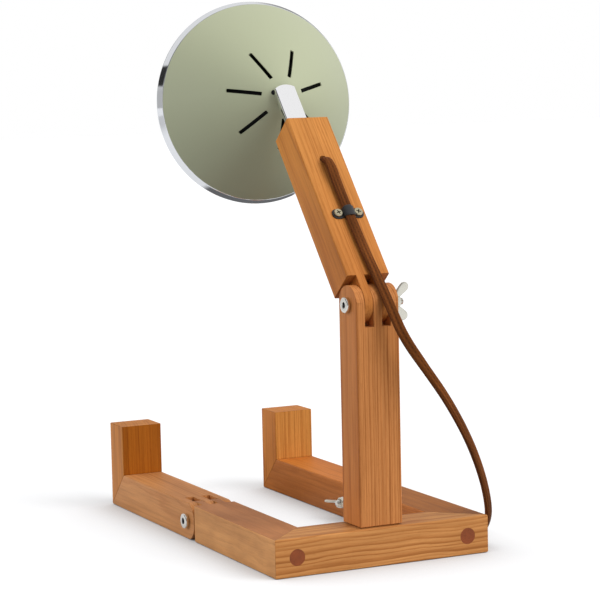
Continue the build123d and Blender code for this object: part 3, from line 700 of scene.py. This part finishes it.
def makeShade():
    # radii run from the axis over the flat hub, its eased edge and the arc; columns stand at fixed angles,
    # and the two beside a slot follow its edge
    c = cone
    centre, bend, first, last = coneArc()
    half, inner, outer, corner = c["slotWidth"] / 2, c["slotInner"], c["slotOuter"], c["slotCorner"]
    ends = corner * (1 - np.cos(np.linspace(0, pi / 2, 5)))
    fine = np.linspace(first, last, 2000)
    arc = centre + bend * np.stack([np.cos(fine), np.sin(fine)], 1)
    start, stop = c["ease"]
    easeHeight = np.interp(stop, arc[:, 0], arc[:, 1])
    t = np.linspace(0, 1, 9)[:, None]
    flat, edge = np.array([start, c["setback"]]), np.array([c["hub"], c["setback"]])
    up = np.array([stop, easeHeight])
    hubBend = flat * (1 - t) ** 2 + 2 * edge * t * (1 - t) + up * t ** 2
    line = np.concatenate([hubBend, arc[arc[:, 0] > stop + 0.02]])
    straight = np.linspace(inner + corner, outer - corner, 16)[1:-1]
    radii = np.concatenate([[0.0, 3.0, 6.0], hubBend[:, 0], inner + ends, straight, outer - ends[::-1],
                            np.linspace(outer, c["rim"], 30)[1:]])
    height = np.interp(radii, line[:, 0], line[:, 1])
    inside = np.clip(np.minimum(radii - inner, outer - radii), 0, corner)
    rounded = half - corner + np.sqrt(np.maximum(0, corner ** 2 - (corner - inside) ** 2))
    width = np.where((radii > inner + 1e-6) & (radii < outer - 1e-6), rounded, 0)
    gap = np.arcsin(np.clip(width / np.maximum(radii, 1), 0, 1))[:, None]
    sector = tau / c["slots"]
    between = np.linspace(radians(5.4), sector - radians(5.4), 19)[None]
    columns = np.concatenate([gap, np.repeat(between, len(radii), 0), sector - gap], 1)
    heights = np.repeat(height[:, None], columns.shape[1], 1)
    faces = gridFaces(len(radii), columns.shape[1], closedColumns=False)
    shells = []
    for k in range(c["slots"]):
        angle = radians(c["slotPhase"]) + k * sector + columns
        grid = np.stack([radii[:, None] * np.cos(angle), radii[:, None] * np.sin(angle), heights], -1)
        shells.append((inFrame(headFrame, grid.reshape(-1, 3) * mm), faces))
    mesh = makeMesh("shade", shells, 2e-6)
    piece = finishPiece("coneShade", mesh, "head", sage, ["shade"], sharp=70)
    # faces must look away from the bulb, so that the wall grows inwards
    axis = headFrame[:3, 2]
    facesOut = sum(Vector(axis).dot(p.normal) * p.area for p in mesh.polygons) < 0
    wall = piece.modifiers.new("sheet", "SOLIDIFY")
    wall.thickness, wall.offset, wall.use_even_offset = c["sheet"] * mm, (-1 if facesOut else 1), True


def spunPiece(name, outline, finish, nodeName, turns=96, radiusAt=None, sharp=50):
    points, faces = spun(outline * mm, headFrame, turns, radiusAt)
    finishPiece(name, makeMesh(name, [(points, faces)], 2e-6), "head", finish, [nodeName], sharp)


rim = {"flare": 3.3, "depth": 9.5, "wall": 1.0, "bead": 0.7}


def makeRim():
    # a thin flared band with a rolled bead on its free edge; the band laps the cone's rim
    r, z = cone["rim"], cone["depth"]
    flare, depth, wall, bead = rim.values()
    angle = np.radians(np.linspace(250, -70, 15))
    tip = np.array([r + flare - bead, z + depth - bead])
    roll = tip + bead * np.stack([np.cos(angle), np.sin(angle)], 1)
    outer = eased([(r - wall + 0.1, z + 0.2), (r - 0.6, z - 0.15), (r + 0.35, z + 0.1), (r + 0.6, z + 0.6),
                   (r + flare - 0.12, z + depth - 1.5)], 0.5)
    inside = np.array([(r + flare - 1.5, z + depth - 1.5), (r - wall + 0.1, z + 0.2)])
    ring = np.concatenate([outer, roll[::-1][roll[::-1][:, 1] > z + depth - 1.4], inside])
    spunPiece("rimTrim", ring, chrome, "shade_trim", 192)


arm = {
    "half": 9.4, "thick": 4.45, "bottom": 189.3, "corner": 237.9, "crest": 241.4, "cornerEase": 1.6,
    "rear": 1.3, "front": 3.2, "slot": 4.55, "web": 3.65, "slotLow": 227.7, "spigot": (5.9, 169.4),
}


def makeArm():
    # a plate with an arched tip: rows go from the middle of the rear face out over its rounded edge, down the
    # side and over the front edge to the front's middle; each row is the outline drawn in by its inset; the
    # fork's slot is cut out of the front
    a = arm
    rise = a["crest"] - a["corner"]
    radius = (a["half"] ** 2 + rise ** 2) / (2 * rise)
    sweep = np.linspace(np.arcsin(a["half"] / radius), 0, 13)
    tip = np.stack([radius * np.sin(sweep), a["crest"] - radius + radius * np.cos(sweep)], 1)
    half = np.concatenate([[(0, a["bottom"]), (a["half"], a["bottom"])], tip])
    outline = eased(half, a["cornerEase"], 5)
    outline = np.concatenate([outline, (outline * [-1, 1])[::-1][1:-1]])
    middle, tall = (a["crest"] + a["bottom"]) / 2, (a["crest"] - a["bottom"]) / 2
    t = np.linspace(0, pi / 2, 7)
    rear = np.stack([a["rear"] * (1 - np.sin(t)), a["thick"] - a["rear"] * (1 - np.cos(t))], 1)
    front = np.stack([a["front"] * (1 - np.cos(t)), -a["thick"] + a["front"] * (1 - np.sin(t))], 1)
    rows = np.concatenate([[(a["half"], a["thick"]), (a["rear"] + 0.06, a["thick"])], rear, front,
                           [(a["front"] + 0.06, -a["thick"]), (a["half"], -a["thick"])]])
    x = outline[None, :, 0] * (1 - rows[:, :1] / a["half"])
    z = middle + (outline[None, :, 1] - middle) * (1 - rows[:, :1] / tall)
    grid = np.stack([x, np.repeat(rows[:, 1:], len(outline), 1), z], -1).reshape(-1, 3)
    plate = makeMesh("tiltArm", [(inFrame(armFrame, grid * mm), gridFaces(len(rows), len(outline)))], 2e-6)
    low, high = (-a["slot"], -9.0, a["slotLow"]), (a["slot"], a["web"], a["crest"] + 5)
    corners = np.stack(np.meshgrid(*zip(low, high), indexing="ij"), -1).reshape(-1, 3)
    sides = np.array([(0, 1, 3, 2), (4, 6, 7, 5), (0, 4, 5, 1), (2, 3, 7, 6), (0, 2, 6, 4), (1, 5, 7, 3)])
    slot = makeMesh("slotCutter", [(inFrame(armFrame, corners * mm), sides)])
    cutter = bpy.data.objects.new("slotCutter", slot)
    blank = bpy.data.objects.new("armBlank", plate)
    for thing in (cutter, blank):
        scene.collection.objects.link(thing)
    cut = blank.modifiers.new("slot", "BOOLEAN")
    cut.operation, cut.object, cut.solver = "DIFFERENCE", cutter, "EXACT"
    shaped = bpy.data.meshes.new_from_object(blank.evaluated_get(bpy.context.evaluated_depsgraph_get()))
    for thing in (cutter, blank):
        bpy.data.objects.remove(thing)
    r, low = a["spigot"]
    high = a["bottom"] + 1
    post = np.array([(0, low), (r - 0.4, low), (r, low + 0.4), (r, high), (0, high)]) * mm
    bm = bmesh.new()
    bm.from_mesh(shaped)
    bm.from_mesh(makeMesh("armPost", [spun(post, armFrame, 48)]))
    bm.to_mesh(shaped)
    bm.free()
    shaped.materials.clear()
    finishPiece("tiltArm", shaped, "arm", armChromeLit, ["head_arm"], sharp=30)


holder = {
    "seat": 12.5, "ribs": 36, "ribDepth": 0.35, "ribbed": (13, 31),
    "bore": [(0, 9.5), (14.2, 9.5), (14.4, 35.2), (14.9, 36)],
    "barrel": [(18.0, 36), (18.5, 35.4), (18.5, 31.6), (18.1, 31.2), (18.5, 30.8), (18.5, 13.4), (18.1, 13.0),
               (18.5, 12.6), (18.5, 11), (14.3, 5.4)],
    "skirt": [(50, 34.0), (50.3, 32.9), (50, 32.2), (14.0, 2.6), (13.8, 0), (0, 0)],
}


def makeHolder():
    # a barrel with a thin dark skirt behind the slots, a dark sheet standing in for the shade inside the
    # cone; the ribs are shallow squared cosine waves on the barrel's radius
    h = holder
    low, high = ((h["seat"] + z) * mm for z in h["ribbed"])

    def ribbed(r, z, angle):
        onBarrel = (z > low) & (z < high) & (r > 17 * mm)
        return r - np.where(onBarrel, h["ribDepth"] * mm * (0.5 + 0.5 * np.cos(h["ribs"] * angle)) ** 2, 0)

    outline = eased([(r, h["seat"] + z) for r, z in h["bore"] + h["barrel"] + h["skirt"]], 0.5)
    spunPiece("holder", outline, holderBlack, "lampholder", 144, ribbed, 40)


bulb = {"tip": 22.5, "radius": 22.5, "length": 70.0, "neck": 12.4, "pitch": 3.6, "threadDepth": 0.30}


def makeBulb():
    # glass: a sphere that eases into the neck; cap: a rolled screw thread, the radius waving along a helix
    tip, radius, length, neck, pitch, threadDepth = bulb.values()
    centre = tip + length - radius
    t = np.linspace(0, 1, 60)
    angle = pi / 2 - t * radians(128)
    ball = np.stack([radius * np.cos(angle), centre + radius * np.sin(angle)], 1)
    end = ball[-1]
    s = np.linspace(0, 1, 24)[1:, None]
    slope = np.array([np.sin(angle[-1]), -np.cos(angle[-1])])
    control = end + slope * 9.0
    foot = np.array([neck, tip + 22.6])
    low = np.array([neck + 0.2, tip + 29.0])
    sweep = end * (1 - s) ** 3 + 3 * control * s * (1 - s) ** 2 + 3 * low * s ** 2 * (1 - s) + foot * s ** 3
    spunPiece("bulbGlass", np.concatenate([ball, sweep, [(0, tip + 22.6)]]), opal, "bulb_glass")
    z = np.linspace(tip + 4.2, tip + 23.6, 120)
    body = np.stack([np.full(120, 12.75), z], 1)
    contact = [(0, tip), (4.6, tip), (5.2, tip + 0.5), (6.6, tip + 1.6), (12.2, tip + 3.8)]
    outline = np.concatenate([contact, body, [(12.9, tip + 24), (0, tip + 24)]])

    def thread(r, z, angle):
        threaded = (z > (tip + 5.5) * mm) & (z < (tip + 20) * mm)
        return r + np.where(threaded, threadDepth * mm * np.sin(z / (pitch * mm) * tau - angle), 0)

    spunPiece("bulbCap", outline, capMetal, "bulb_cap", 72, thread)


# Hardware: M6 bolts, washers, wing nuts
hardware = {
    "bolt": 3.0, "head": 6.75, "headHeight": 3.8, "hex": 5.0, "hexDepth": 2.4, "length": 52.1, "pitch": 1.0,
    "hubBase": 6.0, "hubTop": 4.8, "hubHeight": 7.5, "nutSeat": 41.4,
    "elbowTurn": -5.0, "kneeTurn": 88.0, "knee": (-168.4, 16.5), "face": 100.8,
}


def makeBolt(name, nodeName, matrix):
    # rows run from the socket's floor, out over the head, down the shank and along the thread to the tip; a
    # row is a hexagon or a circle
    h = hardware
    turns = 72
    angle = np.arange(turns) * tau / turns
    hexagon = (h["hex"] / 2) / np.cos((angle + pi / 6) % (pi / 3) - pi / 6)
    circle = np.ones(turns)
    top, head, r = h["headHeight"], h["head"], h["bolt"]
    rows = [(0 * circle, top - h["hexDepth"] - 0.6), (hexagon * 0.97, top - h["hexDepth"]),
            (hexagon, top - 0.35), (np.maximum(hexagon, 2.75) + 0.12, top - 0.05)]
    rows += [(radius * circle, z) for radius, z in (
        (3.25, top), (head * 0.86, top), (head * 0.94, top - 0.12), (head - 0.1, top - 0.5),
        (head, top - 0.85), (head, 0.5), (head - 0.15, 0.12), (head - 0.5, 0.0), (r, -0.02))]
    x = np.linspace(-0.5, -h["length"] + 0.8, 400)[:, None]
    cut = np.clip((-x - 36.0) / 1.0, 0, 1)
    wave = np.abs(((x / h["pitch"] + angle[None] / tau) % 1) - 0.5) * 2
    thread = r - cut * 0.42 * wave
    radius = np.concatenate([np.stack([a for a, b in rows]), thread, [(r - 0.7) * circle, 0 * circle]])
    height = np.concatenate([[b for a, b in rows], x[:, 0], [-h["length"] + 0.1, -h["length"]]])[:, None]
    height = np.repeat(height, turns, 1)
    grid = np.stack([height, radius * np.cos(angle), radius * np.sin(angle)], -1) * mm
    mesh = makeMesh(name, [(inFrame(matrix, grid.reshape(-1, 3)), gridFaces(len(radius), turns))], 1e-7)
    finishPiece(name, mesh, nodes[nodeName]["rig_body"], zinc, [nodeName], sharp=50)
    # faces down in the hex socket take the dark finish: painted shade in the recess
    mesh.materials.append(paintedSocketShade)
    local = inFrame(np.array(Matrix(matrix).inverted()), np.array([f.center for f in mesh.polygons])) / mm
    fromAxis = np.hypot(local[:, 1], local[:, 2])
    shadedRecess = (local[:, 0] > 0) & (local[:, 0] < top - 0.2) & (fromAxis < h["hex"] / 2 + 0.6)
    mesh.polygons.foreach_set("material_index", shadedRecess.astype(np.int32))


def makeWingNut(name, nodeName, matrix):
    # hub: a spun cone with a bored hole; wings: superellipse sections along a spine, thin and wide at the tip
    h = hardware
    base, top, height = h["hubBase"], h["hubTop"], h["hubHeight"]
    corners = [(3.05, 0.35), (3.45, 0.02), (base - 0.1, 0.0), (base, 0.9), (base - 0.35, 2.0),
               (top + 0.15, height - 0.7), (top - 0.5, height), (3.5, height), (3.05, height - 0.4)]
    outline = eased(corners + corners[:1], 0.35, 3) * mm
    stand = turned(-90, "Y")        # the hub's axis runs along -X from the seat
    shells = [spun(outline, matrix @ stand, 48)]
    t = np.linspace(0, 1, 34)
    t = np.concatenate([t[:-1] * 0.94, 0.94 + 0.06 * np.linspace(0.3, 1, 8)])
    reach, rise = 3.8 + 11.5 * t, 3.4 + 11.2 * t
    middle = np.stack([-rise, 0 * t, reach], 1)
    spine = np.gradient(middle, axis=0)
    spine /= np.linalg.norm(spine, axis=1)[:, None]
    broad = np.cross(spine, [0, 1.0, 0])
    tipEnd = np.sqrt(np.clip(1 - ((t - 0.74) / 0.26).clip(0, 1) ** 2, 0, 1))
    halfBroad = (2.75 + 1.45 * np.sin(np.clip(t / 0.74, 0, 1) * pi / 2) ** 2) * tipEnd
    roundTip = np.where(t > 0.94, np.sqrt(np.clip(1 - ((t - 0.94) / 0.06) ** 2, 0, 1)), 1)
    halfThick = (1.75 - 0.75 * np.clip(t / 0.45, 0, 1)) * roundTip
    for side in (1, -1):
        flip = matrix @ (np.eye(4) if side > 0 else turned(180, "X"))
        thick = facing(len(t), (0, 1, 0))
        shells.append(lofted(middle * mm, broad, thick, halfBroad * mm, halfThick * mm, 3.2, flip))
    body = nodes[nodeName]["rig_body"]
    finishPiece(name, makeMesh(name, shells), body, nickel, [nodeName], sharp=50)


def makeHardware():
    h = hardware
    places = {"elbow": (elbowFrame @ shifted(20 * mm, 0, 0), h["elbowTurn"])}
    y, z = (v * mm for v in h["knee"])
    places["left_knee"] = (shifted(h["face"] * mm, y, z), h["kneeTurn"])
    places["right_knee"] = (shifted(-h["face"] * mm, y, z) @ turned(180, "Z"), -h["kneeTurn"])
    for name, (place, turn) in places.items():
        makeBolt(camel(name) + "Bolt", name + "_bolt", place)
        seat = place @ shifted(-h["nutSeat"] * mm, 0, 0) @ turned(turn, "X")
        makeWingNut(camel(name) + "WingNut", name + "_wing_nut", seat)
        softened(name + "_washer", camel(name) + "Washer", zinc, 0.15 * mm)
    print("hardware", len(places), "sets")


# the arm's chrome is a brighter copy of the polished chrome: painted light on the arm
chrome = metalFinish("polishedChrome", (230, 232, 236), 0.06, 700, 0.004, 0.015)
armChromeLit = metalFinish("armChromeLit", (254, 254, 255), 0.08, 900, 0.006, 0.02)
zinc = metalFinish("brightZinc", (222, 220, 213), 0.13, 1500, 0.04, 0.05)
# dark finish for the bolts' hex sockets: painted shade
paintedSocketShade = metalFinish("paintedSocketShade", (92, 92, 96), 0.42, 1500, 0.10)
nickel = metalFinish("satinNickel", (226, 223, 211), 0.26, 1800, 0.08, 0.06)
screwZinc = metalFinish("screwZinc", (200, 190, 160), 0.30, 1800, 0.10)
# dark finish for the clip screws' slots: painted shade
paintedRecessShade = metalFinish("paintedRecessShade", (58, 52, 40), 0.5, 1800, 0.10)
capMetal = metalFinish("capMetal", (196, 196, 194), 0.30, 900, 0.08)
brass = metalFinish("contactBrass", (206, 168, 92), 0.28, 900, 0.08)
sage = coatFinish("sagePaint", (174, 179, 149), 0.46, 0.06, 1700, 0.012)
holderBlack = coatFinish("holderBlack", (9, 9, 9), 0.55, 0.15, 900, gloss=0.18)
clipBlack = coatFinish("clipBlack", (36, 35, 36), 0.42, 0.18, 1500)
fittingBrown = coatFinish("fittingBrown", (74, 44, 28), 0.42, 0.12, 1600)
rockerBrown = coatFinish("rockerBrown", (58, 34, 22), 0.36, 0.10, 1600)
tieBrown = coatFinish("tieBrown", (60, 38, 26), 0.6, 0.25, 900)


opal = opalFinish("opalGlass")
makeShade()
makeRim()
makeHolder()
makeBulb()
makeArm()
softened("head_knuckle", "knuckle", chrome, 0.35 * mm)
giveFinish(["tilt_pin", "hub_screws"], metalFinish("darkSteel", (54, 54, 57), 0.40, 1500, 0.05))
giveFinish(["holder_contacts"], brass)
print("head")
makeHardware()


# Cord fittings: clip, its screws, switch, hank tie, plug
clip = {"along": 82.0, "across": -2.5, "wall": 1.3, "inner": 4.2, "climb": 2.6, "reach": 14.9}


def makeClip():
    # strap: a flat band that follows the neck, climbs over the cord and comes down again, with round ends
    u0, x0, wall, inner, climb, reach = clip.values()
    side = np.linspace(-reach, -5.6, 14)
    angle = np.linspace(pi, 0, 25)
    arch = np.stack([(inner + wall / 2) * np.cos(angle), climb + (5.7 - climb + wall / 2) * np.sin(angle)], 1)
    legs = np.array([[-(inner + wall / 2), 1.7], [-(inner + wall / 2) - 0.3, 0.95]])
    left = np.concatenate([np.stack([side, np.full(14, wall / 2)], 1), legs[::-1]])
    path = np.concatenate([left, arch, left[::-1] * [-1, 1]])
    n = len(path)
    centres = np.stack([path[:, 0] + x0, path[:, 1] + 16.5, np.full(n, u0)], 1)
    run = np.gradient(path, axis=0)
    run /= np.linalg.norm(run, axis=1)[:, None]
    outward = np.stack([-run[:, 1], run[:, 0], 0 * run[:, 0]], 1)
    end = np.clip((reach - np.abs(path[:, 0])) / 4.6, 0, 1)
    waist = 5.15 - 0.75 * np.exp(-((np.abs(path[:, 0]) - 5.2) / 1.6) ** 2)
    halfWidth = np.maximum(waist * np.sqrt(np.clip(1 - (1 - end) ** 2, 0, 1)), 0.02) * mm
    strap = lofted(centres * mm, facing(n, (0, 0, 1)), outward, halfWidth, wall / 2 * mm, 5, neckFrame)
    mesh = makeMesh("cordClip", [strap])
    finishPiece("cordClip", mesh, "neck", clipBlack, ["cord_clip"], sharp=55)
    screws = softened("clip_screws", "clipScrews", screwZinc, 0.12 * mm)
    # the screws' slots take a dark finish: painted shade in the recess
    screws.data.materials.append(paintedRecessShade)
    centres = np.array([f.center for f in screws.data.polygons])
    local = inFrame(np.linalg.inv(neckFrame), centres) / mm - [x0, 16.5, u0]
    fromAxis = np.hypot(np.abs(local[:, 0]) - 9.5, local[:, 2])
    shadedRecess = (local[:, 1] > 1.0) & (local[:, 1] < 3.15) & (fromAxis < 2.6)
    screws.data.polygons.foreach_set("material_index", shadedRecess.astype(np.int32))


softened("switch_body", "switchBody", fittingBrown, 0.3 * mm)
softened("switch_rocker", "switchRocker", rockerBrown, 0.5 * mm, 3)
softened("plug_body", "plugBody", fittingBrown, 0.3 * mm)
giveFinish(["plug_pins"], nickel)
softened("cord_tie", "cordTie", tieBrown, 0.25 * mm)
makeClip()
print("fittings")


# Stage: pale floor, white surround, soft light
stageLook = {
    "mirror": 0.84,        # level of the surround in mirrors
    "key": (0.77, (-0.47, 0.68, 0.56), 48),        # level, direction, width in degrees
    "fill": (0.55, (0.87, -0.5, 0.10), 60), "ambient": 0.57,
    "floor": (186, 187, 189), "floorBounce": (140, 141, 143), "lift": 0.56, "near": 0.15,
    # dark cards that only mirrors see: direction, half angles where it starts and ends, level
    "cards": (((0.43, 0.88, 0.20), 32, 56, 0.36), ((0.66, -0.68, 0.33), 6, 8, 0.04),
              ((0.76, -0.64, 0.06), 6, 13, 0.62), ((0.79, -0.21, 0.57), 18, 30, 0.06),
              ((-0.48, -0.87, 0.06), 9, 24, 0.22)),
    # dull patches in the floor's mirror image: place, radii, level
    "patches": (((-0.20, -0.55, 0.0), 0.29, 0.33, 0.16), ((1.0, -4.8, 0.0), 1.2, 2.4, 0.84),
                ((1.9, -1.8, 0.0), 0.6, 1.5, 0.70), ((-4.6, -8.2, 0.0), 4.0, 6.4, 0.22)),
}


def makeLight():
    for name in ("key", "fill"):
        level, towards, size = stageLook[name]
        data = bpy.data.lights.new(name, "SUN")
        data.energy, data.angle = level * pi, radians(size)
        lamp = bpy.data.objects.new(name, data)
        lamp.visible_glossy = False
        lamp.rotation_mode = "QUATERNION"
        lamp.rotation_quaternion = Vector(towards).to_track_quat("Z", "Y")
        scene.collection.objects.link(lamp)
    world = bpy.data.worlds.new("surround")
    scene.world = world
    world.use_nodes = True
    g = Graph(world.node_tree)
    path = g.node("LightPath").outputs
    direction = g.coordinates("Generated")
    mirrored = g.times(path["Is Glossy Ray"], stageLook["mirror"])
    for towards, inner, outer, level in stageLook["cards"]:
        aim = g.vectorMaths("DOT_PRODUCT", direction, tuple(Vector(towards).normalized()))
        card = g.remapped(aim, (cos(radians(outer)), cos(radians(inner))), (1.0, level), "SMOOTHSTEP")
        mirrored = g.times(mirrored, card)
    seen = g.maths("MAXIMUM", path["Is Camera Ray"], path["Is Transmission Ray"])
    unseen = g.maths("SUBTRACT", 1.0, g.maths("MAXIMUM", seen, path["Is Glossy Ray"]))
    strength = g.timesPlus(unseen, stageLook["ambient"], g.maths("MAXIMUM", seen, mirrored))
    background = g.tree.nodes["Background"].inputs
    g.plug([background["Color"], background["Strength"]], [(1, 1, 1), strength])


def makeFloor():
    # one wide plane; the camera sees it lifted to white, less so near the lamp, and it keeps the soft shadow
    n = 9
    x, y = np.meshgrid(np.linspace(-12, 12, n), np.linspace(-12, 12, n), indexing="ij")
    grid = np.stack([x, y, np.full_like(x, -0.0002)], -1).reshape(-1, 3)
    mesh = makeMesh("floor", [(grid, gridFaces(n, n, closedColumns=False))])
    floor = bpy.data.objects.new("floor", mesh)
    scene.collection.objects.link(floor)
    f = Finish("paleFloor", tone(*stageLook["floor"]), 0.85)
    place = f.coordinates()
    f.bump(f.noise(place, 300.0), 0.02, 0.0002)
    path = f.node("LightPath").outputs
    glossy = path["Is Glossy Ray"]
    seen = f.maths("MAXIMUM", path["Is Camera Ray"], f.maths("MAXIMUM", glossy, path["Is Transmission Ray"]))
    keep = f.maths("SUBTRACT", 1.0, f.times(glossy, 1 - stageLook["mirror"]))
    for middle, inner, outer, level in stageLook["patches"]:
        reach = f.vectorMaths("DISTANCE", place, middle)
        dull = f.remapped(reach, (inner, outer), (1 - level, 0.0), "SMOOTHSTEP")
        keep = f.times(f.maths("SUBTRACT", 1.0, f.times(dull, glossy)), keep)
    shown = f.mixed(seen, tone(*stageLook["floorBounce"]), tone(*stageLook["floor"]))
    near = f.node("AmbientOcclusion", samples=8, Distance=stageLook["near"]).outputs["AO"]
    lift = f.times(f.times(f.times(seen, keep), near), stageLook["lift"])
    f.set({"Base Color": f.tinted(shown, keep), "Specular IOR Level": 0.1})
    f.set({"Emission Color": (1, 1, 1), "Emission Strength": lift})
    mesh.materials.append(f.material)


makeLight()
makeFloor()
bpy.context.view_layer.update()
